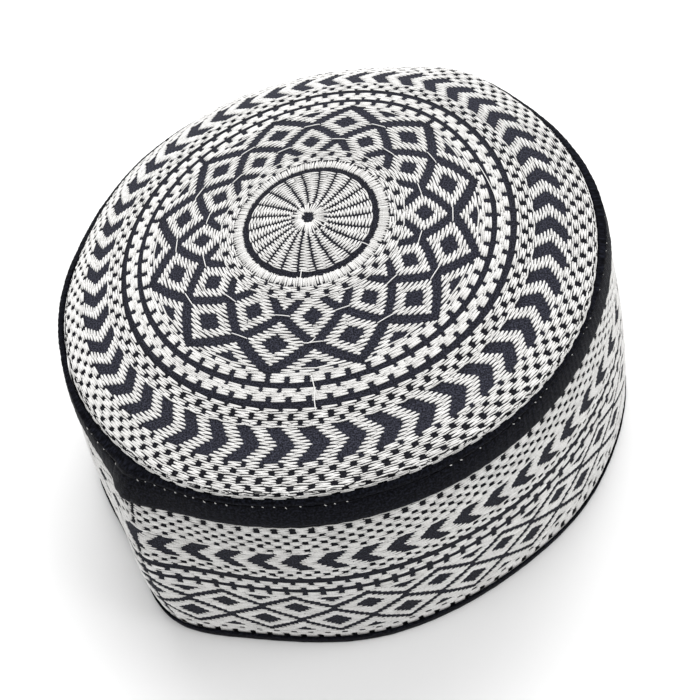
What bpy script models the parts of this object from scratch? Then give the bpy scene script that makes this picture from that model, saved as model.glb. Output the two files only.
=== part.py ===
"""Embroidered kufi cap with a domed round crown, a flared side band, piping round the rim and a bound hem.

The cap stands on its hem with +Z up. Angles run anticlockwise from +X, and -Y is the front.
Its outline is worked out as distances from an axis up through the middle of the rim. A soft cap
isn't a true circle, so short tables of waves push its rim and hem in and out.
"""
import math

import bmesh
import bpy

MM = 0.001

# Rim, where the crown meets the side band
RIM_RADIUS = 86.8 * MM
RIM_HEIGHT = 76.6 * MM
# Columns: order of the wave, cosine part and sine part, as a share of the radius
RIM_OUTLINE_WAVES = (
    (2, -0.039, 0.016),
    (3, 0.025, -0.003),
    (4, 0.005, 0.009),
)
# Columns: order of the wave, cosine part and sine part
RIM_HEIGHT_WAVES = (
    (1, 2.3 * MM, 1.1 * MM),
    (2, -1.1 * MM, 2.8 * MM),
    (3, -1.2 * MM, 2.6 * MM),
)

# Crown, which swells up more at the back than at the front
# Columns: power of the distance out, order of the wave, cosine part and sine part
DOME_SWELL = (
    (0, 0, 13.7 * MM, 0.0),
    (1, 1, 7.5 * MM, 4.1 * MM),
    (2, 0, -1.5 * MM, 0.0),
    (2, 2, 1.1 * MM, 2.8 * MM),
    (3, 1, -5.1 * MM, 12.7 * MM),
)
MIDDLE_SHIFT = -1.6 * MM
CROWN_THICKNESS = 1.8 * MM
CROWN_RINGS = 10

# Hem, a little wider than the rim, with a soft corner at the band's seam
HEM_RADIUS = 94.9 * MM
HEM_SHIFT_X = 1.4 * MM
HEM_SHIFT_Y = 1.4 * MM
HEM_OUTLINE_WAVES = (
    (2, 0.004, 0.018),
    (3, 0.018, -0.002),
)
SEAM_ANGLE = math.radians(228.0)
# Columns: angle from the seam, half width and height of a swell or dent round the seam
SEAM_CORNER = (
    (math.radians(0.0), math.radians(11.0), 4.5 * MM),
    (math.radians(-23.0), math.radians(15.0), -3.7 * MM),
    (math.radians(23.0), math.radians(15.0), -0.8 * MM),
)

# Side band
BAND_DROP = 1.9 * MM
BAND_BULGE = 2.2 * MM
BAND_THICKNESS = 2.2 * MM
BAND_ROWS = 9
GAP = 0.3 * MM

# Piping: a narrow welt, a stitched groove and a wide flap below it
# Columns: distance below the rim, and distance out from the band's face
PIPING_SECTION = (
    (2.6 * MM, GAP),
    (1.8 * MM, 0.6 * MM),
    (1.7 * MM, 1.2 * MM),
    (2.5 * MM, 1.7 * MM),
    (3.9 * MM, 1.7 * MM),
    (5.2 * MM, 1.0 * MM),
    (6.3 * MM, 1.5 * MM),
    (9.0 * MM, 1.9 * MM),
    (12.0 * MM, 1.8 * MM),
    (13.3 * MM, 1.3 * MM),
    (13.5 * MM, GAP),
    (8.0 * MM, GAP),
)
PIPING_LAP_SWELL = 0.45
PIPING_LAP_WIDTH = math.radians(5.0)

# Binding folded round the hem
BINDING_HEIGHT = 3.4 * MM
BINDING_THICKNESS = 0.9 * MM
BINDING_ROUNDING = 0.5 * MM

SEGMENTS = 72

THREAD_WHITE = (0.62, 0.61, 0.58, 1.0)
SATIN_BLACK = (0.013, 0.013, 0.016, 1.0)


def waves(table, angle):
    """Sum of the waves in a table at one angle."""
    return sum(c * math.cos(n * angle) + s * math.sin(n * angle) for n, c, s in table)


def swell(angle, middle, half_width):
    """A smooth bump, 1 at its middle angle and fading over its half width."""
    turn = (angle - middle + math.pi) % math.tau - math.pi
    return math.exp(-((turn / half_width) ** 2))


def rim_radius(angle):
    return RIM_RADIUS * (1.0 + waves(RIM_OUTLINE_WAVES, angle))


def rim_height(angle):
    return RIM_HEIGHT + waves(RIM_HEIGHT_WAVES, angle)


def hem_radius(angle):
    corner = sum(h * swell(angle, SEAM_ANGLE + turn, width) for turn, width, h in SEAM_CORNER)
    return HEM_RADIUS * (1.0 + waves(HEM_OUTLINE_WAVES, angle)) + corner


def crown_point(share, angle, depth=0.0):
    """Point on the crown at a share of the way from its middle to the rim."""
    outline = 1.0 + (rim_radius(angle) / RIM_RADIUS - 1.0) * share ** 3
    radius = RIM_RADIUS * share * outline
    height = RIM_HEIGHT
    for n, c, s in RIM_HEIGHT_WAVES:
        height += share ** n * (c * math.cos(n * angle) + s * math.sin(n * angle))
    dome = sum(
        share ** power * (c * math.cos(n * angle) + s * math.sin(n * angle))
        for power, n, c, s in DOME_SWELL
    )
    height += (1.0 - share ** 2) * dome
    shift = MIDDLE_SHIFT * (1.0 - share ** 4)
    return (radius * math.cos(angle) + shift, radius * math.sin(angle), height - depth)


def band_point(height, angle, out=0.0):
    """Point on the band's outer face at a height above the hem, moved outwards by out."""
    top = rim_height(angle) - BAND_DROP
    down = max(0.0, 1.0 - height / top)
    radius = rim_radius(angle) * (1.0 - down) + hem_radius(angle) * down
    radius += 4.0 * BAND_BULGE * down * (1.0 - down) + out
    return (
        radius * math.cos(angle) + HEM_SHIFT_X * down,
        radius * math.sin(angle) + HEM_SHIFT_Y * down,
        height,
    )


def cloth_material(name, colour, roughness):
    material = bpy.data.materials.new(name)
    material.use_nodes = True
    shader = material.node_tree.nodes["Principled BSDF"]
    shader.inputs["Base Color"].default_value = colour
    shader.inputs["Roughness"].default_value = roughness
    shader.inputs["Metallic"].default_value = 0.0
    return material


def add_object(name, bm, material, parent):
    """Turn a bmesh into a smooth-shaded object under the cap's empty."""
    bmesh.ops.recalc_face_normals(bm, faces=bm.faces)
    mesh = bpy.data.meshes.new(name)
    bm.to_mesh(mesh)
    bm.free()
    mesh.shade_smooth()
    mesh.set_sharp_from_angle(angle=math.radians(40.0))
    mesh.materials.append(material)
    cap_piece = bpy.data.objects.new(name, mesh)
    cap_piece.parent = parent
    bpy.context.collection.objects.link(cap_piece)
    return cap_piece


def section_angles():
    """Evenly spaced angles with one of them on the band's seam."""
    return [SEAM_ANGLE + math.tau * k / SEGMENTS for k in range(SEGMENTS)]


def bridge(bm, ring, next_ring):
    """Join two closed rings of vertices with four-sided faces."""
    count = len(ring)
    for k in range(count):
        after = (k + 1) % count
        bm.faces.new((ring[k], ring[after], next_ring[after], next_ring[k]))


def ring_solid(section):
    """Solid that runs once round the cap: section(angle) gives its outline in order."""
    bm = bmesh.new()
    slices = [[bm.verts.new(point) for point in section(angle)] for angle in section_angles()]
    for k, outline in enumerate(slices):
        bridge(bm, outline, slices[(k + 1) % SEGMENTS])
    return bm


def make_crown():
    """Domed shell of one cloth thickness, closed round its edge."""
    bm = bmesh.new()
    angles = section_angles()
    edges = []
    for depth in (0.0, CROWN_THICKNESS):
        middle = bm.verts.new(crown_point(0.0, 0.0, depth))
        rings = []
        for k in range(1, CROWN_RINGS + 1):
            share = k / CROWN_RINGS
            rings.append([bm.verts.new(crown_point(share, a, depth)) for a in angles])
        for k in range(SEGMENTS):
            bm.faces.new((middle, rings[0][k], rings[0][(k + 1) % SEGMENTS]))
        for inner, outer in zip(rings, rings[1:]):
            bridge(bm, inner, outer)
        edges.append(rings[-1])
    bridge(bm, edges[0], edges[1])
    return bm


def band_section(angle):
    """Upright strip of cloth from just under the crown down into the binding."""
    top = rim_height(angle) - CROWN_THICKNESS - GAP
    bottom = BINDING_THICKNESS + GAP
    heights = [bottom + (top - bottom) * k / BAND_ROWS for k in range(BAND_ROWS + 1)]
    outer = [band_point(height, angle) for height in heights]
    inner = [band_point(height, angle, -BAND_THICKNESS) for height in reversed(heights)]
    return outer + inner


def piping_section(angle):
    """Welt, groove and flap lying on the band's top edge, thicker where its ends lap."""
    lap = 1.0 + PIPING_LAP_SWELL * swell(angle, SEAM_ANGLE, PIPING_LAP_WIDTH)
    rim = rim_height(angle)
    return [band_point(rim - below, angle, GAP + (out - GAP) * lap) for below, out in PIPING_SECTION]


def binding_section(angle):
    """U-shaped strip that wraps the band's lower edge, flat underneath."""
    outside = GAP + BINDING_THICKNESS
    inside = -BAND_THICKNESS - outside
    rounding = BINDING_ROUNDING
    outline = (
        (BINDING_HEIGHT, GAP),
        (BINDING_HEIGHT, outside - rounding),
        (BINDING_HEIGHT - rounding, outside),
        (rounding, outside),
        (0.0, outside - rounding),
        (0.0, inside + rounding),
        (rounding, inside),
        (BINDING_HEIGHT - rounding, inside),
        (BINDING_HEIGHT, inside + rounding),
        (BINDING_HEIGHT, -BAND_THICKNESS - GAP),
        (BINDING_THICKNESS, -BAND_THICKNESS - GAP),
        (BINDING_THICKNESS, GAP),
    )
    return [band_point(height, angle, out) for height, out in outline]


def centre_on_origin(root, cap_pieces):
    """Move the empty so that the middle of the cap's box stands over the origin."""
    for axis in (0, 1):
        values = [vertex.co[axis] for piece in cap_pieces for vertex in piece.data.vertices]
        root.location[axis] = -0.5 * (min(values) + max(values))


def main():
    for existing in list(bpy.data.objects):
        bpy.data.objects.remove(existing, do_unlink=True)
    root = bpy.data.objects.new("cap", None)
    bpy.context.collection.objects.link(root)
    embroidery = cloth_material("embroidered_cloth", THREAD_WHITE, 0.75)
    satin = cloth_material("black_satin", SATIN_BLACK, 0.55)
    cap_pieces = [
        add_object("crown_top", make_crown(), embroidery, root),
        add_object("side_band", ring_solid(band_section), embroidery, root),
        add_object("rim_piping", ring_solid(piping_section), satin, root),
        add_object("hem_binding", ring_solid(binding_section), satin, root),
    ]
    centre_on_origin(root, cap_pieces)


main()
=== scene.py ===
import math

import bpy
import numpy as np
from mathutils import Matrix, Vector


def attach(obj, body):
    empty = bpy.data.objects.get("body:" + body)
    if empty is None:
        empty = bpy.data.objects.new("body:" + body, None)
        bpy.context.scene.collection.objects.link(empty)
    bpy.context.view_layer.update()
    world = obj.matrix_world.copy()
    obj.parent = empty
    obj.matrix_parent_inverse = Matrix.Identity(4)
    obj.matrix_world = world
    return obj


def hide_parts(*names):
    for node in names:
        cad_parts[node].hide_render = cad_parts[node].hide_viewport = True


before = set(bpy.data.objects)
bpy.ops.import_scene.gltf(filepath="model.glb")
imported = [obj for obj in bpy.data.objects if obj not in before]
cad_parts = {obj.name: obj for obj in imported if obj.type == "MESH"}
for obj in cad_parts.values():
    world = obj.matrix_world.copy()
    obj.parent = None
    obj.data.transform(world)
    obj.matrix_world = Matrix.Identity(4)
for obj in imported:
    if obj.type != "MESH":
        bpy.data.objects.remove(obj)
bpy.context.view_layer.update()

# ---- Camera
# It looks down at the front of the cap from about 49 degrees up, turned a little in its own plane. With
# this distance and lens the outlines fall where they do in the photo.
MM = 0.001
RIM_MIDDLE = Vector((-3.263, -1.513, 0.0)) * MM    # the rim's middle axis, where the angles are counted
LOOK_DOWN = math.radians(49.046)
ROLL = math.radians(-10.783)
DISTANCE = 425.96 * MM
SLIDE_RIGHT = 0.495 * MM
SLIDE_UP = -18.32 * MM
LENS = 60.897

back = Vector((0.0, -math.cos(LOOK_DOWN), math.sin(LOOK_DOWN)))
level_up = back.cross(Vector((1.0, 0.0, 0.0)))
right = math.cos(ROLL) * Vector((1.0, 0.0, 0.0)) + math.sin(ROLL) * level_up
up = back.cross(right)
camera = bpy.data.objects.new("camera", bpy.data.cameras.new("camera"))
camera.data.lens = LENS
camera.data.sensor_width = 36.0
camera.data.clip_start = 0.01
turned = Matrix((right, up, back)).transposed().to_4x4()
camera.matrix_world = Matrix.Translation(
    RIM_MIDDLE - SLIDE_RIGHT * right - SLIDE_UP * up + DISTANCE * back
) @ turned
bpy.context.collection.objects.link(camera)
bpy.context.scene.camera = camera

# ---- Studio
# A pale floor under an even tent of light, with one large soft box behind and above and two smaller ones
# at the sides, as for a product picture on white.
SOFT_BOXES = (
    # name, place, size across, strength in watts
    ("soft_box_back", (0.15, 0.95, 1.25), 1.2, 21.0),
    ("soft_box_right", (0.80, -0.30, 1.10), 0.7, 5.5),
    ("soft_box_left", (-0.90, -0.50, 0.90), 0.8, 2.0),
)
LIT_POINT = Vector((0.0, 0.0, 0.05))
TENT_STRENGTH = 0.63
bpy.context.scene.view_settings.view_transform = "Standard"
world = bpy.data.worlds.new("tent")
world.use_nodes = True
tent = world.node_tree.nodes["Background"]
tent.inputs["Color"].default_value = (1.0, 1.0, 1.0, 1.0)
tent.inputs["Strength"].default_value = TENT_STRENGTH
bpy.context.scene.world = world
for name, place, across, watts in SOFT_BOXES:
    light = bpy.data.lights.new(name, "AREA")
    light.size = across
    light.energy = watts
    box = bpy.data.objects.new(name, light)
    box.location = place
    box.rotation_euler = (LIT_POINT - box.location).to_track_quat("-Z", "Y").to_euler()
    bpy.context.collection.objects.link(box)


class Wire:
    """A value in a material, which can be used in sums."""

    def __init__(self, socket):
        self.socket = socket

    def maths(self, operation, first, second=None):
        made = self.socket.id_data.nodes.new("ShaderNodeMath")
        made.operation = operation
        for place, value in enumerate((first, second)):
            if isinstance(value, Wire):
                self.socket.id_data.links.new(value.socket, made.inputs[place])
            elif value is not None:
                made.inputs[place].default_value = value
        return Wire(made.outputs[0])

    def __add__(self, other):
        return self.maths("ADD", self, other)

    def __radd__(self, other):
        return self.maths("ADD", other, self)

    def __sub__(self, other):
        return self.maths("SUBTRACT", self, other)

    def __rsub__(self, other):
        return self.maths("SUBTRACT", other, self)

    def __mul__(self, other):
        return self.maths("MULTIPLY", self, other)

    def __rmul__(self, other):
        return self.maths("MULTIPLY", other, self)

    def sine(self):
        return self.maths("SINE", self)

    def size(self):
        return self.maths("ABSOLUTE", self)

    def highest(self, other):
        return self.maths("MAXIMUM", self, other)


class Finish:
    """A material round one Principled shader, with its nodes."""

    def __init__(self, name, constants):
        self.material = bpy.data.materials.new(name)
        self.material.use_nodes = True
        self.tree = self.material.node_tree
        self.shader = self.tree.nodes["Principled BSDF"]
        for socket, value in constants.items():
            self.shader.inputs[socket].default_value = value

    def node(self, kind, settings=(), sockets=(), out=0):
        made = self.tree.nodes.new(kind)
        for setting, value in dict(settings).items():
            setattr(made, setting, value)
        for socket, value in dict(sockets).items():
            if isinstance(value, Wire):
                self.tree.links.new(value.socket, made.inputs[socket])
            else:
                made.inputs[socket].default_value = value
        return Wire(made.outputs[out])

    def feed(self, socket, wire):
        self.tree.links.new(wire.socket, self.shader.inputs[socket])

    def mark(self, name):
        """A number marked on the points of the mesh."""
        return self.node("ShaderNodeAttribute", {"attribute_name": name}, out=2)

    def threads(self):
        """Where a point lies on the cloth, in metres: the place, and its two directions one by one."""
        place = self.node("ShaderNodeUVMap", {"uv_map": "weave"})
        across = self.node("ShaderNodeSeparateXYZ", {}, {0: place})
        return place, across, Wire(across.socket.node.outputs[1])

    def mix(self, amount, low, high):
        """Between two colours."""
        return self.node("ShaderNodeMix", {"data_type": "RGBA"}, {0: amount, 6: low, 7: high}, 2)

    def noise(self, where, scale, detail=2.0):
        return self.node("ShaderNodeTexNoise", {}, {"Vector": where, "Scale": scale, "Detail": detail})

    def relief(self, height, depth):
        """Bumps from a height between 0 and 1, depth metres high."""
        return self.node("ShaderNodeBump", {}, {"Height": height, "Strength": 1.0, "Distance": depth})


def make_mesh(name, points, faces, finish, flat_map=None, marks=()):
    """Mesh object from arrays of points and of same-sided faces, smooth-shaded."""
    points = np.asarray(points, np.float32).reshape(-1, 3)
    faces = np.asarray(faces)
    mesh = bpy.data.meshes.new(name)
    mesh.vertices.add(len(points))
    mesh.vertices.foreach_set("co", points.ravel())
    mesh.loops.add(faces.size)
    mesh.loops.foreach_set("vertex_index", faces.astype(np.int32).ravel())
    mesh.polygons.add(len(faces))
    starts = np.arange(0, faces.size, faces.shape[1], dtype=np.int32)
    mesh.polygons.foreach_set("loop_start", starts)
    for mark, values in dict(marks).items():
        layer = mesh.attributes.new(mark, "FLOAT", "POINT")
        layer.data.foreach_set("value", np.asarray(values, np.float32))
    if flat_map is not None:
        layer = mesh.uv_layers.new(name="OFBake")
        layer.data.foreach_set("uv", np.asarray(flat_map, np.float32)[faces.ravel()].ravel())
    mesh.update(calc_edges=True)
    mesh.validate()
    mesh.shade_smooth()
    mesh.materials.append(finish.material)
    made = bpy.data.objects.new(name, mesh)
    bpy.context.collection.objects.link(made)
    return made


FLOOR_REACH = 6.0              # from the middle to each side
floor_finish = Finish("pale_floor", {"Roughness": 0.9})
floor_place = floor_finish.node("ShaderNodeTexCoord", out=3)
floor_finish.feed("Base Color", floor_finish.mix(
    floor_finish.noise(floor_place, 3.0), (0.93, 0.93, 0.93, 1.0), (0.95, 0.95, 0.95, 1.0)))
floor_corners = [(x * FLOOR_REACH, y * FLOOR_REACH, 0.0) for x, y in ((-1, -1), (1, -1), (1, 1), (-1, 1))]
floor = make_mesh("floor", floor_corners, [(0, 1, 2, 3)], floor_finish)

# ---- Crown cloth
# One round of charcoal cotton, stiffened by the embroidery on it and sewn to the band round the rim.
# It is domed, higher at the back right, and no part of its edge is a true circle.
RIM_RADIUS = 86.8 * MM
RIM_HEIGHT = 76.6 * MM
RIM_OUTLINE = ((2, -0.039, 0.016), (3, 0.025, -0.003), (4, 0.005, 0.009))
RIM_TILT = ((1, 2.3 * MM, 1.1 * MM), (2, -1.1 * MM, 2.8 * MM), (3, -1.2 * MM, 2.6 * MM))
DOME = (
    # power of the distance out, order of the wave, cosine part, sine part
    (0, 0, 13.7 * MM, 0.0), (1, 1, 7.5 * MM, 4.1 * MM), (2, 0, -1.5 * MM, 0.0), (2, 2, 1.1 * MM, 2.8 * MM),
    (3, 1, -5.1 * MM, 12.7 * MM))
MIDDLE_SHIFT = -1.6 * MM
CROWN_THICKNESS = 1.8 * MM
FOLD = 2.6 * MM                # radius of the fold over the band's top edge
FOLD_FROM = 0.9835             # share of the way out where it starts
FOLD_SLOPE = 0.30              # how far the crown already slopes there, in radians
PILE = 0.3 * MM                # how far the cloth lies under the tops of the stitches
RIM_TABLE = np.array((
    # angle in degrees; how far the crown's edge lies in and down and the piping stands out, in millimetres
    (0, 0.7, 0.0, 0.0), (10, 0.9, 0.0, 0.0), (20, 1.5, 0.0, 0.4), (30, 1.0, 0.0, 0.5), (36, 0.4, 0.0, 0.9),
    (41, -1.0, 0.0, 1.8), (47, -2.6, 0.0, 2.4), (53, -2.0, 0.0, 0.8), (59, -0.3, 0.5, 0.0), (66, 0.0, 1.2, 0.0),
    (102, 0.3, 1.25, 0.4), (110, 1.0, 1.15, 1.2), (120, 2.0, 1.25, 0.5), (130, 1.9, 1.2, 0.4), (140, 2.0, 1.1, -0.3),
    (150, 2.1, 1.0, 0.0), (160, 1.9, 0.7, 0.3), (170, 1.1, 0.35, 1.5), (178, 0.5, 0.0, 1.5), (185, 0.1, 0.0, 1.6),
    (190, 0.7, 0.0, 0.9), (200, 1.0, 0.0, 0.7), (210, 1.4, 0.0, 0.6), (220, 1.7, 0.0, 0.3), (228, 0.8, 0.0, 0.0),
    (236, 0.0, 0.0, 0.0), (333, 0.2, 0.0, 0.0), (341, 1.1, 0.0, 0.0), (350, 0.9, 0.0, 0.0)))


def waves(table, angle):
    return sum(c * np.cos(n * angle) + s * np.sin(n * angle) for n, c, s in table)


def rim_radius(angle):
    return RIM_RADIUS * (1.0 + waves(RIM_OUTLINE, angle))


def rim_height(angle):
    return RIM_HEIGHT + waves(RIM_TILT, angle)


def from_table(table, column, angle):
    """A column of a table by angle, smoothed over a few degrees, in metres."""
    near = [np.interp(np.degrees(angle) + turn, table[:, 0], table[:, column], period=360)
            for turn in (-5.0, -2.5, 0.0, 2.5, 5.0)]
    return sum(near) / len(near) * MM


def crown_point(angle, share, lift=0.0):
    """Point on the crown at a share of the way from its middle to the rim. Angles are in radians."""
    bend = np.clip((share - FOLD_FROM) * RIM_RADIUS / FOLD, 0, math.pi / 2 - FOLD_SLOPE)
    share = np.minimum(share, FOLD_FROM)
    radius = RIM_RADIUS * share * (1.0 + waves(RIM_OUTLINE, angle) * share ** 3)
    radius = radius - from_table(RIM_TABLE, 1, angle) * share ** 12
    radius = radius + (FOLD + lift) * (np.sin(FOLD_SLOPE + bend) - math.sin(FOLD_SLOPE)) * (bend > 0)
    height = RIM_HEIGHT + sum(share ** wave[0] * waves([wave], angle) for wave in RIM_TILT)
    dome = sum(share ** power * waves([wave], angle) for power, *wave in DOME)
    height = height + (1.0 - share ** 2) * dome + lift - from_table(RIM_TABLE, 2, angle) * share ** 12
    height = height - (FOLD + lift) * (math.cos(FOLD_SLOPE) - np.cos(FOLD_SLOPE + bend))
    across = radius * np.cos(angle) + MIDDLE_SHIFT * (1.0 - share ** 4) + RIM_MIDDLE.x
    return np.stack(np.broadcast_arrays(across, radius * np.sin(angle) + RIM_MIDDLE.y, height), -1)


def grid_faces(rows, columns, first=0):
    """Four-sided faces of a grid of points, closed round its rows."""
    k = np.arange(columns)
    one = np.stack([k, (k + 1) % columns, (k + 1) % columns + columns, k + columns], -1)
    return (one[None] + columns * np.arange(rows - 1)[:, None, None] + first).reshape(-1, 4)


def round_faces(rows, columns):
    """The same, closed both ways, for a ring whose section is closed."""
    return grid_faces(rows + 1, columns) % (rows * columns)


COTTON_THREAD = 0.30 * MM
COTTON_RELIEF = 0.10 * MM
COTTON_DARK = (0.0, 0.0, 0.001, 1.0)
CROWN_LIGHT = (0.047, 0.049, 0.070, 1.0)


def cotton(name, light):
    """Plain-woven cloth with two sets of threads. Its colour carries painted shade where it shows only in small
    holes between the stitches.
    """
    made = Finish(name, {"Sheen Weight": 0.02, "Sheen Roughness": 0.5, "Specular IOR Level": 0.10})
    place, across, along = made.threads()
    beat = math.pi / COTTON_THREAD
    warp = (across * beat).sine()
    weft = (along * beat).sine()
    over = (warp * weft) * 0.5 + 0.5
    ridges = over * warp.size() + (1.0 - over) * weft.size()
    cloudy = made.noise(place, 90.0, 3.0)
    slubs = (made.noise(place, 2100.0, 2.0) * 5.0 - 2.1).highest(0.0)
    # Painted shade: the mark darkens the colour where the cloth shows only in small holes between the stitches.
    pale = (ridges * 0.12 + cloudy * 0.10 + slubs * 0.78) * made.mark("hole_light")
    made.feed("Base Color", made.mix(pale, COTTON_DARK, light))
    made.feed("Roughness", 0.72 + 0.2 * cloudy)
    made.feed("Normal", made.relief(ridges, COTTON_RELIEF))
    return made


def weave_map(piece, points):
    """Where the cloth's threads run, in metres."""
    layer = piece.data.uv_layers.new(name="weave")
    corners = np.empty(len(piece.data.loops), np.int32)
    piece.data.loops.foreach_get("vertex_index", corners)
    layer.data.foreach_set("uv", np.asarray(points, np.float32)[corners].ravel())


def strip_map(piece, around, down):
    """The same for a strip that runs round the cap, from distances along it and across it."""
    weave_map(piece, np.stack([np.broadcast_to(around, down.shape).ravel(), down.ravel()], -1))


CROWN_HOLE_LIGHT = np.array((
    # share of the way out, how light the cloth is painted there: painted shade where it shows only in small holes
    # between the stitches
    (0.000, 0.6), (0.330, 0.6), (0.350, 1.1), (0.570, 1.1), (0.600, 0.8), (0.712, 0.8), (0.725, 0.35),
    (0.772, 0.35), (0.790, 1.1), (0.892, 1.1), (0.912, 0.30), (1.050, 0.30)))
CROWN_COLUMNS = 288
CROWN_EDGE = 1.0205            # share of the way out where the cloth ends, past the fold
MAP_SIDE = 0.2                 # side of the square that the crown's flat map covers


def from_above(points):
    return points[:, :2] / MAP_SIDE + 0.5


def middle_fan(ring, middle):
    """Four-sided faces from the innermost ring of points to the middle one, two columns at a time."""
    fan = np.arange(0, CROWN_COLUMNS, 2)
    corners = [ring + (fan + step) % CROWN_COLUMNS for step in (0, 1, 2)]
    return np.stack([*corners, np.full_like(fan, middle)], -1)


crown_shares = np.concatenate([np.linspace(0.018, 0.980, 54), np.linspace(FOLD_FROM, CROWN_EDGE, 7)])[:, None]
CROWN_ROWS = len(crown_shares)
crown_angles = np.linspace(0.0, math.tau, CROWN_COLUMNS, endpoint=False)[None, :]
crown_top = crown_point(crown_angles, crown_shares, -PILE)
crown_under = crown_point(crown_angles, crown_shares, -CROWN_THICKNESS)
crown_points = np.concatenate([
    crown_under[::-1].reshape(-1, 3), crown_top[::-1].reshape(-1, 3),
    *(crown_point(np.zeros(1), np.zeros(1), lift) for lift in (-CROWN_THICKNESS, -PILE))])
half = CROWN_ROWS * CROWN_COLUMNS
column = np.arange(CROWN_COLUMNS)
after = (column + 1) % CROWN_COLUMNS
crown_faces = np.concatenate([
    grid_faces(CROWN_ROWS, CROWN_COLUMNS)[:, ::-1],
    grid_faces(CROWN_ROWS, CROWN_COLUMNS, half),
    np.stack([column, after, after + half, column + half], -1),
    middle_fan(half - CROWN_COLUMNS, 2 * half)[:, ::-1],
    middle_fan(2 * half - CROWN_COLUMNS, 2 * half + 1)])
# The crown cloth's painted shade, ring by ring on its top; none on its underside.
hole_light_rows = np.interp(crown_shares[::-1, 0], *CROWN_HOLE_LIGHT.T)
crown_hole_light = np.concatenate([np.ones(half), np.repeat(hole_light_rows, CROWN_COLUMNS), np.ones(2)])
crown_cloth = make_mesh("crown_cloth", crown_points, crown_faces, cotton("crown_cotton", CROWN_LIGHT),
                        from_above(crown_points), {"hole_light": crown_hole_light})
weave_map(crown_cloth, crown_points[:, :2])
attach(crown_cloth, "root")
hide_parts("crown_top")

# ---- Crown embroidery
# White rayon thread in satin stitch. Each thread runs round the crown from one side of a white patch to
# the other and back through the same hole, so that every edge ends in teeth a millimetre apart.
CROWN_TURN = 22.48             # where the crown's pattern starts, in degrees
ROW = 0.50 * MM                # from one thread to the next
CLOSE_ROW = 0.40 * MM          # the same in the two narrow rings outside the diamonds
LONGEST = 4.2 * MM
THREAD_HALF_WIDTH = 0.265 * MM
THREAD_TOP = 0.22 * MM
THREAD_BOTTOM = 0.16 * MM
END_REACH = 0.20 * MM          # how far a thread goes on past the edge of its patch, into its hole
END_DIP = 0.16 * MM            # how far from its ends it comes up to its full height
END_SINK = 0.04 * MM           # how far its ends lie under the cloth
SHORTEST = 0.6 * MM
SAME_HOLE = 1.3 * MM           # ends of neighbouring threads that lie closer go through one hole
SLACK = 0.10 * MM              # how much the ends stray
STEPS = 7200                   # places looked at round a row
chance = np.random.default_rng(11)    # every random draw comes from here

# How the pattern's rings drift round the crown: order of the wave, cosine part and sine part, in degrees
LATTICE_DRIFT = ((1, -0.51, -0.03), (2, -0.05, 1.36), (3, 0.12, 0.08))
LINE_DRIFT = ((1, -0.10, -0.20), (2, 0.10, -1.00), (3, -0.42, 0.27))
SQUARE_DRIFT = ((1, 0.10, -1.20), (2, -0.15, -0.75), (3, -0.20, -0.70))
CHEVRON_DRIFT = ((1, -0.03, -0.27), (2, 1.25, -1.37), (3, -0.52, -0.01))
# How far its rings sway in and out, as shares of the way out, near the rosette and further out
INNER_SWAY = ((1, 0.0060, 0.0016), (2, -0.0054, 0.0027))
OUTER_SWAY = ((1, -0.0026, 0.0042), (2, 0.0019, 0.0014))
DIAMONDS = 12                  # in each of the lattice's two rows
SMALL_FIRST = -1.0
BIG_FIRST = 14.0
CROWN_DOTS = (
    # the drift they follow and how many; then each row: from and to as shares of the way out, first place and
    # half width in degrees
    (LATTICE_DRIFT, 30, ((0.286, 0.302, 2.60, 1.20), (0.309, 0.330, 8.80, 1.80))),
    (LINE_DRIFT, 61, ((0.592, 0.603, 0.10, 0.80), (0.611, 0.640, 3.20, 0.90))),
    (LINE_DRIFT, 67, ((0.640, 0.668, 0.50, 0.65), (0.679, 0.705, 3.30, 0.85))),
    (SQUARE_DRIFT, 73, ((0.710, 0.733, 4.20, 0.62), (0.738, 0.757, 2.00, 0.75), (0.762, 0.775, 4.40, 0.62))),
    (CHEVRON_DRIFT, 93, (
        (0.899, 0.917, 2.65, 0.54), (0.921, 0.940, 0.95, 0.66), (0.946, 0.966, 2.65, 0.62),
        (0.970, 0.989, 0.95, 0.66), (0.994, 1.008, 2.65, 0.60), (1.012, 1.030, 0.95, 0.80))),
)
CROWN_LINES = ((0.632, 0.652), (0.700, 0.7175))
CROWN_CHEVRONS = 47
CHEVRON_ROW = (0.785, 0.898, 2.4, 2.0)           # as a row of dots
CHEVRON_POINT = (3.4, 0.84, 0.055)               # how far the point runs on, where it is and how deep
CROWN_PARTS = (
    # name, from and to as shares of the way out
    ("crown_lattice_stitches", 0.0, 0.66), ("crown_chevron_stitches", 0.66, 0.84),
    ("crown_border_stitches", 0.84, 1.1))


def from_nearest(turn, count, first):
    """Degrees from the nearest of evenly spaced repeats."""
    pitch = 360.0 / count
    return (turn - first + pitch / 2) % pitch - pitch / 2


def dots(turn, share, count, low, high, first, half_width):
    return (share > low) & (share < high) & (np.abs(from_nearest(turn, count, first)) < half_width)


def crown_lattice(turn, share):
    """Two rows of diamonds with dark hearts, and the dark lines that cross between them."""
    small = np.abs(from_nearest(turn, DIAMONDS, SMALL_FIRST))
    big = np.abs(from_nearest(turn, DIAMONDS, BIG_FIRST))
    # The white diamonds, then the half diamonds and the plain rings that close the lattice on both sides
    white = small / 11.5 + np.where(share > 0.40, (share - 0.40) / 0.083, (0.40 - share) / 0.096) < 1
    white |= big / 11.7 + np.abs(share - 0.499) / 0.079 < 1
    white |= (share < 0.378) & (big < (0.378 - share) * 136)
    white |= share < 0.339
    white |= share > 0.522 + small * 0.0061
    # The dark hearts of the diamonds, and the dark triangles between them at the outer ring
    hearts = small / 5.3 + np.abs(share - 0.402) / 0.036 < 1
    hearts |= big / 5.7 + np.abs(share - 0.502) / 0.036 < 1
    hearts |= (share < 0.587) & (small / 5.3 + (0.587 - share) / 0.032 < 1)
    return ~white | hearts


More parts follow.
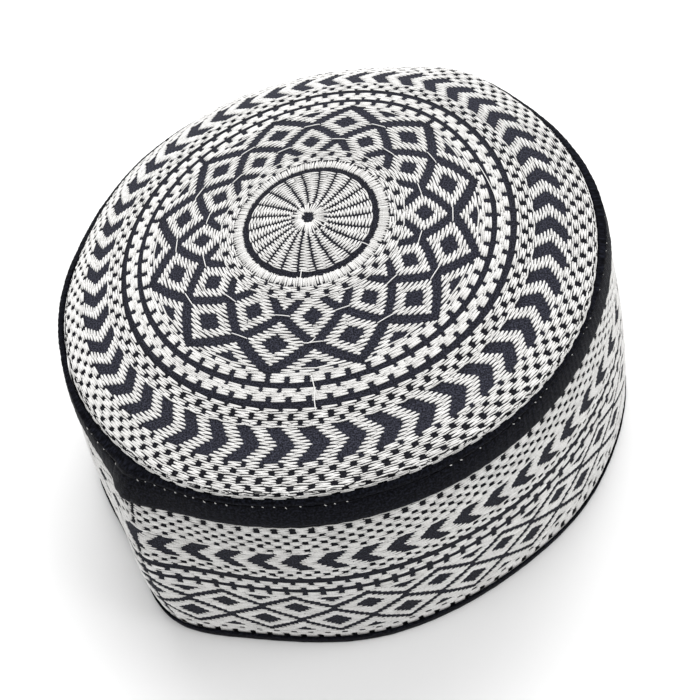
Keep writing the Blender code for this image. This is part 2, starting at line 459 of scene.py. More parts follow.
def crown_dark(turn, share):
    """Where the cloth shows on the crown, outside its rosette."""
    angle = np.radians(turn)
    drifts = LATTICE_DRIFT, LINE_DRIFT, SQUARE_DRIFT, CHEVRON_DRIFT
    drifted = {drift: turn - waves(drift, angle) for drift in drifts}
    dark = crown_lattice(drifted[LATTICE_DRIFT], share)
    for drift, count, rows in CROWN_DOTS:
        for row in rows:
            dark |= dots(drifted[drift], share, count, *row)
    for low, high in CROWN_LINES:
        dark |= (share > low) & (share < high)
    onwards, middle, deep = CHEVRON_POINT
    point = onwards * (1 - np.abs(share - middle) / deep)
    return dark | dots(drifted[CHEVRON_DRIFT] - point, share, CROWN_CHEVRONS, *CHEVRON_ROW)


def white_runs(dark, degrees):
    """Where each white run of a row starts and ends, in degrees."""
    edges = np.flatnonzero(dark != np.roll(dark, 1))
    if len(edges) == 0:
        return np.zeros((0, 2)) if dark[0] else np.array([[degrees[0], degrees[0] + 360.0]])
    if dark[edges[0]]:
        edges = np.roll(edges, -1)
    runs = degrees[edges].reshape(-1, 2)
    runs[:, 1] = np.where(runs[:, 1] < runs[:, 0], runs[:, 1] + 360.0, runs[:, 1])
    return runs


def share_holes(one, other, side, near):
    """Ends of two neighbouring rows that lie close go through one hole. Returns which ends are joined."""
    joined = np.zeros(len(one), bool), np.zeros(len(other), bool)
    if len(one) and len(other):
        gaps = np.abs((one[:, side][:, None] - other[:, side][None] + 180) % 360 - 180)
        nearest = gaps.argmin(1)
        for k in np.flatnonzero(gaps.min(1) < near):
            m = nearest[k]
            if not joined[1][m]:
                shift = ((other[m, side] - one[k, side] + 180) % 360 - 180) / 2
                one[k, side] += shift
                other[m, side] -= shift
                joined[0][k] = joined[1][m] = True
    return joined


def satin_rows(dark_at, shares, radii, zigzag=0.44):
    """Stitches of a field: start turn, start share, end turn, end share, in degrees and shares."""
    degrees = np.arange(STEPS) * 360.0 / STEPS
    rows = [white_runs(dark_at(degrees, share), degrees) for share in shares]
    step = shares[1] - shares[0]
    depth = [np.zeros((len(runs), 2)) for runs in rows]
    # Rows 0 and 1, 2 and 3 share holes at one side, rows 1 and 2, 3 and 4 at the other, and so on
    for side in (0, 1):
        for k in range(side, len(rows) - 1, 2):
            joined = share_holes(rows[k], rows[k + 1], side, math.degrees(SAME_HOLE / radii[k]))
            depth[k][joined[0], side] = zigzag * step
            depth[k + 1][joined[1], side] = -zigzag * step
    made = []
    for k, (runs, deep, share, radius) in enumerate(zip(rows, depth, shares, radii)):
        for (start, end), (deep_start, deep_end) in zip(runs, deep):
            long = math.radians(end - start) * radius
            if long < SHORTEST:
                continue
            # A long run is cut into stitches at uneven places, set off from row to row like bricks
            whole_ring = end - start > 359.0
            pieces = max(1, math.ceil(long / (LONGEST * (0.55 if whole_ring else 1.0))))
            cuts = np.arange(pieces + 1.0)
            cuts[1:-1] += chance.uniform(-0.28, 0.28, pieces - 1) + (0.2 if k % 2 else -0.2)
            cuts = cuts / pieces * (end - start) + start
            if whole_ring:
                cuts = cuts + chance.uniform(0, 30)
            deeps = np.linspace(deep_start, deep_end, pieces + 1)
            to_and_fro = 1 - 2 * (np.arange(pieces - 1) % 2)
            deeps[1:-1] = chance.uniform(0.1, 0.4, pieces - 1) * to_and_fro * step
            slack = math.degrees(SLACK / radius)
            for a, b, c, d in zip(cuts[:-1], cuts[1:], deeps[:-1], deeps[1:]):
                made.append((a + chance.normal(0, slack), share + c, b + chance.normal(0, slack), share + d))
    return np.array(made)


TWIST = 0.9 * MM               # along the thread, for one turn of its plies
TWIST_RELIEF = 0.03 * MM


def thread_finish(name, shade, bright, gloss=0.4, sheen=0.15):
    """Rayon embroidery thread: two plies twisted, with a soft sheen, no two stitches quite alike. Shade is painted
    into its colour at its sides and in the grooves between its plies.
    """
    made = Finish(name, {"Sheen Weight": sheen, "Sheen Roughness": 0.4, "Specular IOR Level": gloss})
    tone, along, across = made.mark("tone"), made.mark("along"), made.mark("across")
    twist = (along * (math.tau / TWIST) + across * 2.0).sine() * 0.5 + 0.5
    side_shade = 1.0 - 0.3 * (across * across)
    # Painted shade: the colour darkens towards each thread's sides and along the grooves between its twisted plies;
    # the tone differs at random from stitch to stitch.
    made.feed("Base Color", made.mix((tone * 0.75 + twist * 0.25) * side_shade, shade, bright))
    made.feed("Roughness", 0.42 + 0.16 * tone)
    made.feed("Normal", made.relief(twist, TWIST_RELIEF))
    return made


white_thread = thread_finish("white_thread", (0.58, 0.57, 0.555, 1.0), (0.91, 0.905, 0.89, 1.0))


def unit(vectors):
    return vectors / np.linalg.norm(vectors, axis=-1, keepdims=True)


def line_on(surface, turn, share, nudge=1e-4):
    """Points of a line on a surface, and the directions straight out of the surface there."""
    line = surface(turn, share)
    return line, unit(np.cross(surface(turn, share + nudge) - line, surface(turn + nudge, share) - line))


def lay_stitches(name, surface, made, flat_map, half_width=THREAD_HALF_WIDTH, finish=white_thread):
    """One closed spindle of thread for each stitch, lying on a surface with its ends down in the cloth."""
    turn = np.radians(made[:, [0, 2]])
    share = made[:, [1, 3]]
    ends = surface(turn, share)
    long = np.linalg.norm(ends[:, 1] - ends[:, 0], axis=1)
    reach = (END_REACH / long)[:, None]
    dip = np.minimum(END_DIP / long, 0.3)[:, None]
    parts = np.concatenate([-reach, dip - reach * 0.3, 0 * dip + 0.5, 1 - dip + reach * 0.3, 1 + reach], 1)
    turns = turn[:, :1] + (turn[:, 1:] - turn[:, :1]) * parts
    shares = share[:, :1] + (share[:, 1:] - share[:, :1]) * parts
    line, outwards = line_on(surface, turns, shares)
    aside = unit(np.cross(outwards, (ends[:, 1] - ends[:, 0])[:, None]))
    plump = chance.normal(1.0, 0.07, len(made))
    height = chance.normal(0.0, 0.025 * MM, len(made))
    points = np.empty((len(made), 14, 3))
    points[:, 0] = line[:, 0] - outwards[:, 0] * (PILE + END_SINK)
    points[:, 13] = line[:, 4] - outwards[:, 4] * (PILE + END_SINK)
    for k, (station, bow, taper) in enumerate(((1, 0.85, 0.9), (2, 1.0, 1.0), (3, 0.85, 0.9))):
        centre = line[:, station] + outwards[:, station] * (height - PILE + THREAD_BOTTOM * bow)[:, None]
        wide = aside[:, station] * (half_width * plump * taper)[:, None]
        points[:, 1 + 4 * k] = centre - wide
        points[:, 2 + 4 * k] = centre + outwards[:, station] * (THREAD_TOP * bow * plump)[:, None]
        points[:, 3 + 4 * k] = centre + wide
        points[:, 4 + 4 * k] = centre - outwards[:, station] * THREAD_BOTTOM
    one = []
    for k in range(4):
        after = (k + 1) % 4
        one.append((0, 1 + k, 1 + after))
        one.append((13, 9 + after, 9 + k))
        for ring in (1, 5):
            one.append((ring + k, ring + 4 + after, ring + after))
            one.append((ring + k, ring + 4 + k, ring + 4 + after))
    faces = (np.array(one)[None] + 14 * np.arange(len(made))[:, None, None]).reshape(-1, 3)
    tone = np.clip(chance.normal(0.55, 0.22, len(made)), 0, 1)
    along = np.concatenate([parts[:, :1], np.repeat(parts[:, 1:4], 4, 1), parts[:, 4:]], 1) * long[:, None]
    across = np.tile([0.0] + [-1.0, 0.0, 1.0, 0.0] * 3 + [0.0], (len(made), 1))
    points = points.reshape(-1, 3)
    marks = {"tone": np.repeat(tone, 14), "along": along.ravel(), "across": across.ravel()}
    piece = make_mesh(name, points, faces, finish, flat_map(points), marks)
    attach(piece, "root")
    return piece


ROSETTE_SHIFT = 0.017          # how far the rosette's middle lies behind the crown's, as a share
ROSETTE_LEFT = 0.005           # how far all of it lies to the left


def crown_turned(turn, share):
    outer = np.clip((share - 0.24) / 0.44, 0, 1)
    sway = (1 - outer) * waves(INNER_SWAY, turn) + outer * waves(OUTER_SWAY, turn)
    share = share + sway * np.clip(share / 0.15, 0, 1) * np.clip((1.0 - share) / 0.08, 0, 1)
    angle = turn + math.radians(CROWN_TURN)
    across = share * np.cos(angle) - ROSETTE_LEFT * np.clip((0.36 - share) / 0.11, 0, 1)
    deep = share * np.sin(angle) + ROSETTE_SHIFT * np.clip(1 - share / 0.215, 0, 1) ** 2
    return crown_point(np.arctan2(deep, across), np.hypot(across, deep))


field = []
for first, last, row, zigzag in (
        (0.2880, 0.6030, ROW, 0.44), (0.6040, 0.7130, CLOSE_ROW, 0.30), (0.7165, 1.0195, ROW, 0.44)):
    shares = np.arange(first, last, row / RIM_RADIUS)
    field.append(satin_rows(crown_dark, shares, RIM_RADIUS * shares, zigzag))
field = np.concatenate(field)
crown_lattice_stitches, crown_chevron_stitches, crown_border_stitches = [
    lay_stitches(name, crown_turned, field[(field[:, 1] >= low) & (field[:, 1] < high)], from_above)
    for name, low, high in CROWN_PARTS]

# ---- Crown rosette
# Round the small hole in the middle, threads lie outwards like rays. Then come 22 wedges stitched
# across, a dark ring, and a ring of short threads that lie outwards again.
WEDGES = 22
SPOKES = 194.5                 # turn of the first dark line between wedges, in degrees
SPOKE_LEAN = 40                # how far the lines turn on their way out, in degrees for a whole radius
SPOKE_WIDTH = 0.25             # half the width of a line, in degrees at the rim


def rosette_dark(turn, share):
    spoke = from_nearest(turn - SPOKE_LEAN * (share - 0.15), WEDGES, SPOKES)
    return np.abs(spoke) < SPOKE_WIDTH / share


def rays(low, high, count, ragged):
    """Stitches that lie outwards from the middle."""
    turn = (np.arange(count) + chance.normal(0, 0.12, count)) * 360.0 / count
    lean = chance.normal(0, 0.2, count) * 360.0 / count
    inner = low + chance.normal(0, ragged * 0.5, count)
    outer = high + chance.normal(0, ragged, count) - 1.4 * ragged * (np.arange(count) % 2)
    return np.stack([turn, inner, turn + lean, outer], -1)


wedge_shares = np.arange(0.068, 0.2270, ROW / RIM_RADIUS)
wedges = satin_rows(rosette_dark, wedge_shares, RIM_RADIUS * wedge_shares)
inner_rays = rays(0.0245, 0.071, 50, 0.006)
outer_rays = rays(0.2492, 0.2850, 330, 0.0035)
rosette = np.concatenate([wedges, inner_rays, outer_rays])
crown_rosette = lay_stitches("crown_rosette_stitches", crown_turned, rosette, from_above, 0.25 * MM)

# ---- Side band cloth
# A straight strip of the same cotton, bulging a little and wider at the hem, with painted shade making its colour a
# shade darker than the crown's. It is sewn to a ring at the front left.
HEM_RADIUS = 94.9 * MM
HEM_SHIFT = (1.4 * MM, 1.4 * MM)
HEM_OUTLINE = ((2, 0.004, 0.018), (3, 0.018, -0.002))
SEAM_TURN = 228.0              # where the strip's ends meet, in degrees
SEAM_CORNER = (
    # a swell or dent: turn from the seam and half width in degrees, height in millimetres
    (0.0, 11.0, 4.5), (-23.0, 15.0, -3.7), (23.0, 15.0, -0.8))
BAND_DROP = 1.9 * MM
BAND_BULGE = 2.2 * MM
BAND_THICKNESS = 2.2 * MM
HEM_TUCK = np.array((
    # angle in degrees, how far the hem is pulled in, in millimetres
    (150, 0.0), (222, 0.0), (232, 0.4), (246, 0.8), (257, 0.8), (264, 0.4), (272, 0.8), (281, 1.3), (288, 1.5),
    (296, 1.7), (304, 1.4), (312, 1.0), (320, 0.9), (328, 1.5), (340, 1.3), (350, 0.6), (360, 0.0)))
SEAM_RIDGE = 3.6 * MM          # how far the stiff seam stands out half way down
TOP_BULGE = 1.6 * MM           # how far the band's top stands out at the right
# The band's cloth colour is the crown's painted darker: painted shade, for the band faces away from the light.
BAND_SHADED_LIGHT = (0.035, 0.037, 0.052, 1.0)
BAND_TALL = 75.0 * MM          # from rim to hem, for how far rows and threads are apart
BAND_RADIUS = 90.0 * MM        # half way up


def swell(angle, middle, width):
    """A smooth bump round one angle in degrees, 1 at its middle."""
    return np.exp(-(((angle - math.radians(middle) + math.pi) % math.tau - math.pi) / math.radians(width)) ** 2)


def hem_radius(angle):
    corner = sum(height * MM * swell(angle, SEAM_TURN + turn, width) for turn, width, height in SEAM_CORNER)
    return HEM_RADIUS * (1.0 + waves(HEM_OUTLINE, angle)) + corner


def top_bulge(angle):
    return TOP_BULGE * swell(angle, 2.0, 16.0)


def band_point(angle, down, out=0.0):
    """Point on the band's face, down from 0 at the rim to 1 at the hem, moved outwards by out."""
    radius = rim_radius(angle) * (1.0 - down) + hem_radius(angle) * down
    radius = radius + 4.0 * BAND_BULGE * np.maximum(down, 0) * (1.0 - down) + out
    radius = radius - from_table(HEM_TUCK, 1, angle) * np.clip((down - 0.1) / 0.9, 0, 1) ** 1.8
    radius = radius + top_bulge(angle) * (1.0 - np.clip(down, 0, 1))
    radius = radius + SEAM_RIDGE * np.sin(math.pi * np.clip(down, 0, 1)) * swell(angle, 226.5, 6.5)
    return np.stack(np.broadcast_arrays(
        radius * np.cos(angle) + HEM_SHIFT[0] * np.maximum(down, 0) + RIM_MIDDLE.x,
        radius * np.sin(angle) + HEM_SHIFT[1] * np.maximum(down, 0) + RIM_MIDDLE.y,
        (rim_height(angle) - BAND_DROP) * (1.0 - down),
    ), -1)


SAG = np.array((
    # way down, and how far the rows lie above level at the front right
    (0.15, 0.035), (0.357, 0.014), (0.48, 0.028), (0.55, 0.036), (0.68, 0.046), (0.80, 0.052), (0.90, 0.045),
    (1.0, 0.02)))


def row_rise(angle, down):
    """How far the strip's rows lie above level, as a share of the way down."""
    sag = np.interp(down, *SAG.T) * swell(angle, 322.0, 19.0)
    return sag - 0.007 * swell(angle, 263.0, 14.0) - 0.007


BAND_HOLE_LIGHT = np.array((
    # way down, how light the cloth is painted there: painted shade where it shows only in small holes between the
    # stitches
    (0.000, 0.3), (0.285, 0.3), (0.305, 1.0), (0.402, 1.0), (0.415, 0.35), (0.460, 0.35), (0.475, 0.8),
    (0.590, 0.8), (0.610, 1.0), (0.885, 1.0), (0.905, 0.3), (1.000, 0.3)))
BAND_ROWS = 44
BAND_COLUMNS = 360
band_angles = np.linspace(0.0, math.tau, BAND_COLUMNS, endpoint=False)[:, None]
band_down = np.linspace(0.006, 0.982, BAND_ROWS)
level = np.concatenate([band_down, band_down[::-1]])
lowered = from_table(RIM_TABLE, 2, band_angles) / BAND_TALL    # where the crown's edge lies lower
downs = level + lowered * (1.0 - level)
outs = np.concatenate([np.full(BAND_ROWS, -PILE), np.full(BAND_ROWS, -BAND_THICKNESS)])


def from_side(points):
    """Round the cap and up it, both from 0 to 1."""
    angle = np.arctan2(points[:, 1] - RIM_MIDDLE.y, points[:, 0] - RIM_MIDDLE.x)
    return np.stack([(angle - math.radians(SEAM_TURN)) % math.tau / math.tau, points[:, 2] / 0.1], -1)


# The band cloth's painted shade in its small holes, on its face only.
band_hole_light = np.interp(downs + row_rise(band_angles, downs), *BAND_HOLE_LIGHT.T)
band_hole_light[:, BAND_ROWS:] = 1.0
band_cloth = make_mesh(
    "band_cloth", band_point(band_angles, downs, outs), round_faces(BAND_COLUMNS, 2 * BAND_ROWS),
    cotton("band_cotton_painted_shade", BAND_SHADED_LIGHT), marks={"hole_light": band_hole_light.ravel()})
strip_map(band_cloth, band_angles * BAND_RADIUS, downs * BAND_TALL)
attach(band_cloth, "root")
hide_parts("side_band")

# ---- Side band embroidery
# The same thread lies round the band in level rows: dots, chevrons, two lines with ticks, and two rows of
# diamonds. The strip's ends meet at the seam, where the pattern doesn't match.
BAND_STRETCH = ((1, -6.12, -2.32), (2, -1.14, -4.71))    # how the pattern drifts round the cap, in degrees
BAND_ROW = 0.435 * MM          # from one thread to the next
BAND_SQUARES = 106             # small dark squares in a row
SQUARE_FIRST = 1.7             # in degrees, as are the other first places and widths here
BAND_DOTS = (
    # from and to as shares of the way down, first place after the squares', half width
    (0.1885, 0.2055, 1.0, 0.60), (0.2095, 0.2265, -0.7, 0.60), (0.2305, 0.2475, 1.0, 0.60),
    (0.2515, 0.2685, -0.7, 0.60), (0.2725, 0.2895, 1.0, 0.60), (0.150, 0.180, -0.7, 0.62),
    (0.413, 0.429, 1.7, 0.60), (0.434, 0.450, 0.0, 0.60), (0.455, 0.475, 1.7, 0.50), (0.490, 0.512, 0.0, 0.55),
    (0.524, 0.590, 1.7, 0.58), (0.905, 0.922, 0.0, 0.60), (0.934, 0.975, 1.7, 0.60))
BAND_LINES = ((0.468, 0.495), (0.541, 0.567))
BAND_CHEVRONS = 56
CHEVRON_FIRST = 4.65
CHEVRON_SHAPE = np.array((
    # way down, where the chevron's point is and where its notch is, in degrees
    (0.306, 2.5, 6.1), (0.322, 1.7, 5.3), (0.340, 0.7, 4.3), (0.356, -0.2, 3.3), (0.372, 0.8, 4.2),
    (0.388, 1.9, 5.4), (0.402, 3.0, 5.9)))
BAND_DIAMONDS = 26
DIAMOND_FIRST = 6.48
HALF_DIAMOND = 6.923
DIAMOND_LINES = ((0.607, 0.686, 0), (0.704, 0.789, 1), (0.799, 0.889, 0))    # peaks, dips, and 1 if it starts low
BAND_PARTS = (
    # name, from and to as shares of the way down
    ("band_border_stitches", 0.0, 0.34), ("band_chevron_stitches", 0.34, 0.66),
    ("band_diamond_stitches", 0.66, 1.0))


def band_dark(turn, down):
    """Where the cloth shows on the band."""
    angle = np.radians(turn)
    seam = (angle - math.radians(3.0 * (down - 1.0)) - math.radians(SEAM_TURN) + math.pi) % math.tau - math.pi
    dark = np.abs(np.degrees(seam)) < 0.45
    turn = turn + waves(BAND_STRETCH, angle)
    for low, high, after, half_width in BAND_DOTS:
        dark |= dots(turn, down, BAND_SQUARES, low, high, SQUARE_FIRST + after, half_width)
    for low, high in BAND_LINES:
        dark |= (down > low) & (down < high)
    tip = from_nearest(turn - 3.0, BAND_CHEVRONS, CHEVRON_FIRST) + 3.0
    at, point, notch = CHEVRON_SHAPE.T
    dark |= (down > 0.302) & (down < 0.406) & (tip > np.interp(down, at, point)) & (tip < np.interp(down, at, notch))
    peak = np.abs(from_nearest(turn, BAND_DIAMONDS, DIAMOND_FIRST))
    valley = np.abs(from_nearest(turn, BAND_DIAMONDS, DIAMOND_FIRST + HALF_DIAMOND))
    for high, low, first in DIAMOND_LINES:
        off = (peak, valley)[first]
        dark |= np.abs(down - (high + (low - high) * off / HALF_DIAMOND)) < 0.0145
    # The hearts of the diamonds, and the dark triangles along both edges of their strip
    dark |= peak / 2.9 + np.abs(down - 0.687) / 0.041 < 1
    dark |= valley / 3.1 + np.abs(down - 0.797) / 0.047 < 1
    dark |= (down > 0.606) & (valley / 2.1 + (down - 0.614) / 0.032 < 1) & (down < 0.642)
    return dark | ((down < 0.890) & (peak / 2.3 + (0.890 - down) / 0.034 < 1) & (down > 0.855))


def band_turned(angle, down):
    """The band's face with its rows as they really run, a little out of level."""
    return band_point(angle, down - row_rise(angle, down) * np.clip((1.0 - down) / 0.1, 0, 1))


band_shares = np.arange(0.150, 0.985, BAND_ROW / BAND_TALL)    # from under the piping to the binding


def satin_band(low, high):
    shares = band_shares[(band_shares >= low) & (band_shares < high)]
    return satin_rows(band_dark, shares, np.full(len(shares), BAND_RADIUS), 0.34)


band_border_stitches, band_chevron_stitches, band_diamond_stitches = [
    lay_stitches(name, band_turned, satin_band(low, high), from_side) for name, low, high in BAND_PARTS]

# ---- Loose threads
# Single white threads that cross the dark cloth, where the needle jumped from one patch to the next. They
# lie loose between their two holes, some of them in a slack bow.
JUMPS = (
    # points along the thread: turn in degrees, share of the way out
    ((236.3, 0.497), (238.5, 0.501), (240.2, 0.494), (241.5, 0.482)),
    ((240.2, 0.732), (240.0, 0.700), (240.3, 0.668), (239.9, 0.640), (239.4, 0.612)),
    ((233.5, 0.262), (233.4, 0.236), (233.6, 0.214)),
    ((294.0, 0.262), (294.3, 0.240), (293.8, 0.220)),
    ((333.0, 0.657), (338.0, 0.650), (344.0, 0.641), (350.0, 0.634)),
)
LOOSE_RADIUS = 0.15 * MM
LOOSE_RISE = 0.15 * MM
LOOSE_SINK = 0.25 * MM         # how far the ends go down into their holes
LOOSE_SIDES = 6

# The same threads, drawn tight, cross the dark lines between neighbouring diamonds.
paths = list(JUMPS)
for k in range(DIAMONDS):
    for first, reach, share in ((BIG_FIRST, 3.9, 0.399), (SMALL_FIRST, 3.6, 0.499)):
        middle = first + 360.0 / DIAMONDS * k
        middle += waves(LATTICE_DRIFT, math.radians(middle))
        paths.append(((middle - reach, share + 0.001), (middle, share), (middle + reach, share + 0.001)))
sides = np.arange(LOOSE_SIDES)[:, None] * math.tau / LOOSE_SIDES
jump_points, jump_faces = [], []
for path in map(np.array, paths):
    at = np.linspace(0, len(path) - 1, 6 * len(path))
    turn, share = [np.interp(at, np.arange(len(path)), column) for column in path.T]
    bow = LOOSE_RISE * np.sin(math.pi * at / at[-1]) ** 0.35 - LOOSE_SINK * (np.abs(at / at[-1] - 0.5) > 0.499)
    line, outwards = line_on(crown_turned, np.radians(turn), share)
    line = line + outwards * bow[:, None]
    aside = unit(np.cross(outwards, np.gradient(line, axis=0)))
    tube = line[:, None] + LOOSE_RADIUS * (np.cos(sides) * aside[:, None] + np.sin(sides) * outwards[:, None])
    jump_faces.append(grid_faces(len(line), LOOSE_SIDES, sum(map(len, jump_points))))
    jump_points.append(tube.reshape(-1, 3))
jump_points = np.concatenate(jump_points)
plain = np.zeros(len(jump_points))
crown_jump_threads = make_mesh(
    "crown_jump_threads", jump_points, np.concatenate(jump_faces), white_thread, from_above(jump_points),
    {"tone": plain + 0.8, "along": plain, "across": plain})
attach(crown_jump_threads, "root")

# ---- Rim piping
# A strip of black satin sewn over the edge between crown and band: a narrow padded welt, a stitched
# groove, and a flap about 7 mm wide that lies on the band. Its ends lap at the band's seam.
PIPING_TABLE = np.array((
    # angle in degrees, how far the groove and the flap's edge are below the rim in millimetres
    (150, 3.4, 10.6), (190, 3.1, 9.8), (208, 3.3, 10.0), (216, 4.0, 11.6), (221, 4.8, 13.6), (224, 5.4, 14.6),
    (227, 5.2, 14.2), (231, 4.5, 13.2), (236, 4.0, 12.5),
    (255, 4.0, 12.4), (266, 4.9, 12.9), (280, 4.8, 12.8), (290, 4.4, 12.0), (300, 3.7, 11.5), (310, 2.9, 10.9),
    (322, 2.7, 9.8), (332, 2.9, 9.9), (345, 3.4, 11.2), (380, 4.2, 12.2), (470, 4.0, 12.0)))
PIPING_TOP = 1.9 * MM
PIPING_SECTION = np.array((
    # place, 0 at the welt's top, 1 in the groove and 2 at the flap's edge; out from the band's face in mm
    (0.35, 0.30), (0.08, 0.38), (0.00, 0.62), (0.08, 0.92), (0.26, 1.16), (0.48, 1.26), (0.70, 1.18), (0.86, 0.98),
    (0.96, 0.76), (1.02, 0.74), (1.08, 0.92), (1.16, 1.08), (1.30, 1.20), (1.50, 1.27), (1.70, 1.26), (1.85, 1.18),
    (1.95, 1.00), (1.99, 0.78), (2.00, 0.52), (1.97, 0.32), (1.50, 0.30), (0.90, 0.30)))
SKIN = 0.35                    # in the section, what lies further out than this is the upper side
PIPING_STITCH = 3.1 * MM
PIPING_COLUMNS = 1440
# Ripples: size, order of the wave and where it starts
PIPING_RIPPLES = ((0.5, 37, 0.3), (0.35, 61, 1.9), (0.3, 94, 4.0), (0.25, 139, 2.2), (0.2, 23, 5.1))
SLANT_PITCH = 2.3 * MM         # from one slanting crease to the next
SATIN_DARK = (0.0001, 0.0001, 0.0006, 1.0)
SATIN_LIGHT = (0.0125, 0.0138, 0.0215, 1.0)
FLOAT_ACROSS = 0.24 * MM       # the satin's threads, which run on a slant
FLOAT_DOWN = 0.9 * MM
SATIN_RELIEF = 0.35 * MM

satin = Finish("black_satin", {"Sheen Weight": 0.0, "Specular IOR Level": 0.03})
satin_place, satin_across, satin_down = satin.threads()
floats = (satin_across * (math.tau / FLOAT_ACROSS) + satin_down * (math.tau / FLOAT_DOWN)).sine() * 0.5 + 0.5
clouds = satin.noise(satin_place, 420.0, 5.0)
crushed_glints = satin.noise(satin_place, 1500.0, 3.0)
# Painted highlights: the thresholded crushed noise lights the colour in patches, standing in for glints of light off
# the crumpled satin; the same noise also bumps it.
satin.feed("Base Color", satin.mix(
    (crushed_glints * 5.0 - 2.2).highest(0.0) * 0.85 + floats * 0.15, SATIN_DARK, SATIN_LIGHT))
satin.feed("Roughness", 0.38 + 0.25 * clouds)
satin.feed("Normal", satin.relief(floats * 0.15 + clouds * 0.5 + crushed_glints * 0.35, SATIN_RELIEF))


def ripple(angle, sizes):
    return sum(size * np.sin(angle * order + phase) for size, order, phase in sizes)


def piping_point(angle, place, out):
    """On the piping, at a place in its section, with out in millimetres."""
    degrees = np.degrees(angle)
    groove, edge = [np.interp(degrees, PIPING_TABLE[:, 0], column, period=360) * MM for column in PIPING_TABLE.T[1:]]
    below = np.where(place < 1, PIPING_TOP + (groove - PIPING_TOP) * place, groove + (edge - groove) * (place - 1))
    below = below + from_table(RIM_TABLE, 2, angle) * np.clip(2.0 - place, 0, 1)
    lean = np.maximum(from_table(RIM_TABLE, 1, angle), 0) + top_bulge(angle)
    lean = lean * np.clip(1.0 - place / 0.35, 0, 1)
    stand = from_table(RIM_TABLE, 3, angle) * np.clip(1.5 - 0.5 * place, 0.5, 1)
    down = (below - BAND_DROP) / (rim_height(angle) - BAND_DROP)
    return band_point(angle, down, out * MM - lean + stand * (out > SKIN)), below


piping_angles = np.linspace(0.0, math.tau, PIPING_COLUMNS, endpoint=False)[:, None]
around = rim_radius(piping_angles).mean() * piping_angles
wide = ripple(piping_angles, PIPING_RIPPLES)
place, out = PIPING_SECTION.T
puffed = np.clip((out - 0.7) / 0.5, 0, 1)
groove = np.exp(-(((place - 1.0) / 0.16) ** 2)) * (out > 0.6)
pull = np.cos(math.tau * around / PIPING_STITCH + 1.2 * wide)
slant = np.sin(math.tau * around / SLANT_PITCH + 3.0 * place + 2.0 * np.sin(7 * piping_angles))
outs = out + puffed * (0.07 * wide + 0.045 * slant) - groove * 0.10 * pull
outs = outs + puffed * 0.35 * swell(piping_angles, 226.0, 4.5)
places = place + (place > 1.8) * 0.012 * wide - (place < 0.3) * (out > 0.5) * 0.05 * wide
piping_points, below = piping_point(piping_angles, places, outs)
rim_piping = make_mesh(
    "rim_piping_satin", piping_points, round_faces(PIPING_COLUMNS, len(PIPING_SECTION)), satin)
strip_map(rim_piping, around, below)
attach(rim_piping, "root")
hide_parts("rim_piping")

# The strip's end is folded under on the slant and lies over its start.
LAP_COLUMNS = 60
LAP_FROM, LAP_TO = 221.8, 228.0    # degrees
LAP_SLANT = 1.6
LAP_RISE = 1.5                     # millimetres
LAP_RADIUS = 87.0 * MM
lap_degrees = np.linspace(LAP_FROM, LAP_TO, LAP_COLUMNS)[:, None]
lap_angles = np.radians(lap_degrees)
rise = np.sin(np.linspace(0, math.pi, LAP_COLUMNS))[:, None] ** 0.35
slanted = lap_angles - np.radians(LAP_SLANT) * (place - 1.0)
creases = 0.10 * np.sin(3.2 * place + lap_degrees * 3.1)
lap_outs = out - 0.55 + (LAP_RISE + creases) * rise * (out > 0.5)
lap_points, below = piping_point(slanted, np.clip(place, 0.02, 1.99), lap_outs)
piping_lap = make_mesh("piping_lap_satin", lap_points, grid_faces(LAP_COLUMNS, len(PIPING_SECTION)), satin)
strip_map(piping_lap, lap_angles * LAP_RADIUS, below)
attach(piping_lap, "root")

# ---- Piping stitches
# Lock stitches in black thread along the groove, which hold the piping on. The white bobbin thread shows as
# a dot at many of the holes at the front left and the right, and at a third of the others.
LOCK_HALF_WIDTH = 0.20 * MM
DOT_HALF_WIDTH = 0.17 * MM
black_thread = thread_finish("black_thread", (0.001, 0.001, 0.002, 1.0), (0.006, 0.006, 0.008, 1.0), 0.08, 0.0)


def groove_point(angle, place):
    """Along the piping's groove, where place is 1."""
    return piping_point(angle, place, 0.80 + PILE / MM)[0]


stitch_count = round(math.tau * rim_radius(piping_angles).mean() / PIPING_STITCH)
length = 360.0 / stitch_count
holes = (np.arange(stitch_count) + 0.5 + chance.normal(0, 0.10, stitch_count)) * length
wander = 1.0 + chance.normal(0, 0.03, stitch_count)
onwards = holes + 0.92 * ((np.roll(holes, -1) - holes) % 360.0)
lock = np.stack([holes + 0.08 * length, wander, onwards, np.roll(wander, -1)], -1)
piping_stitches = lay_stitches(
    "piping_stitches", groove_point, lock, from_side, LOCK_HALF_WIDTH, black_thread)
likely = 0.35 + 0.5 * swell(np.radians(holes), 238.0, 28.0) + 0.3 * swell(np.radians(holes), 345.0, 20.0)
seen = chance.uniform(0, 1, stitch_count) < likely
spread = chance.uniform(0.09, 0.24, stitch_count)
dot = np.stack([holes - spread, wander - 0.02, holes + spread, wander + 0.03], -1)[seen]
piping_dots = lay_stitches("piping_dots", groove_point, dot, from_side, DOT_HALF_WIDTH)

# ---- Rim seam
# Short black threads over the crown's very edge, where it is sewn to the band and the piping. They lie
# along the edge at uneven places and close off the embroidery.
SEAM_THREADS = 330
SEAM_SHARE = 0.999
turn = (np.arange(SEAM_THREADS) + chance.uniform(-0.4, 0.4, SEAM_THREADS)) * 360.0 / SEAM_THREADS
share = SEAM_SHARE + chance.normal(0, 0.0035, SEAM_THREADS)
reach = chance.uniform(0.35, 0.8, SEAM_THREADS)
seam = np.stack([turn - reach, share, turn + reach, share + chance.normal(0, 0.004, SEAM_THREADS)], -1)


def crown_edge(angle, share):
    """Just over the stitches at the crown's edge."""
    return crown_point(angle, share, 0.12 * MM)


rim_seam_stitches = lay_stitches(
    "rim_seam_stitches", crown_edge, seam, from_above, DOT_HALF_WIDTH, black_thread)

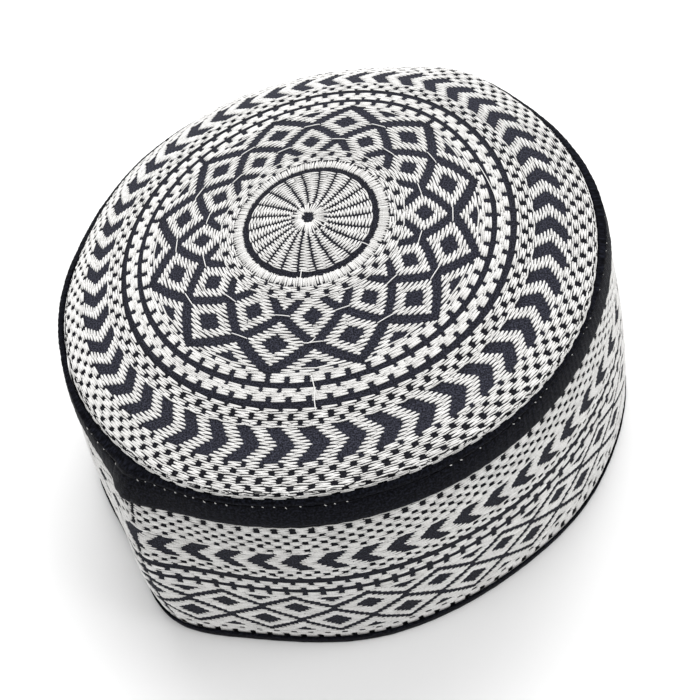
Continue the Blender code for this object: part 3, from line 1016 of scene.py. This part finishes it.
# ---- Hem binding
# A narrow strip of the same black satin, folded round the band's lower edge and sewn down. The cap stands
# on it. The band hangs down over part of it at the right and at the left of the seam.
BINDING_COLUMNS = 720
BINDING_RADIUS = 95.0 * MM
BINDING_SECTION = MM * np.array((
    # height, out from the band's face, in millimetres
    (3.2, 0.30), (3.4, 0.50), (3.35, 0.85), (3.0, 1.10), (2.4, 1.18), (1.6, 1.20), (0.9, 1.20), (0.4, 1.10),
    (0.08, 0.80), (0.0, 0.40), (0.0, -1.0), (0.0, -2.6), (0.08, -3.0), (0.4, -3.3), (1.2, -3.4), (2.4, -3.4),
    (3.0, -3.3), (3.4, -2.9), (3.2, -2.5), (0.9, -2.5), (0.9, 0.3)))
BINDING_INSIDE = 0.3 * MM      # out from the band's face, where the strip's outer part begins
BINDING_HIDDEN = (
    # angle and width in degrees of a stretch where the band hangs over it, and how much of it is hidden
    (335.0, 33.0, 0.62), (214.0, 13.0, 0.50), (356.0, 16.0, 0.42))
BINDING_WRINKLES = ((0.5, 47, 1.3), (0.35, 83, 0.9), (0.3, 131, 3.0))
WRINKLE_UP = 0.13 * MM
WRINKLE_OUT = 0.05 * MM

binding_angles = np.linspace(0.0, math.tau, BINDING_COLUMNS, endpoint=False)[:, None]
high, out = BINDING_SECTION.T
narrow = 1.0 - sum(hidden * swell(binding_angles, middle, width) for middle, width, hidden in BINDING_HIDDEN)
wrinkle = ripple(binding_angles, BINDING_WRINKLES)
height = high * narrow + (high > 2.9 * MM) * (out > 0.4 * MM) * WRINKLE_UP * wrinkle
down = 1.0 - height / (rim_height(binding_angles) - BAND_DROP)
outs = np.where(out > BINDING_INSIDE, BINDING_INSIDE + (out - BINDING_INSIDE) * narrow, out)
outs = outs + (out > 0.9 * MM) * WRINKLE_OUT * wrinkle
hem_binding = make_mesh(
    "hem_binding_cloth", band_point(binding_angles, down, outs),
    round_faces(BINDING_COLUMNS, len(BINDING_SECTION)), satin)
strip_map(hem_binding, binding_angles * BINDING_RADIUS, height)
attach(hem_binding, "root")
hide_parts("hem_binding")
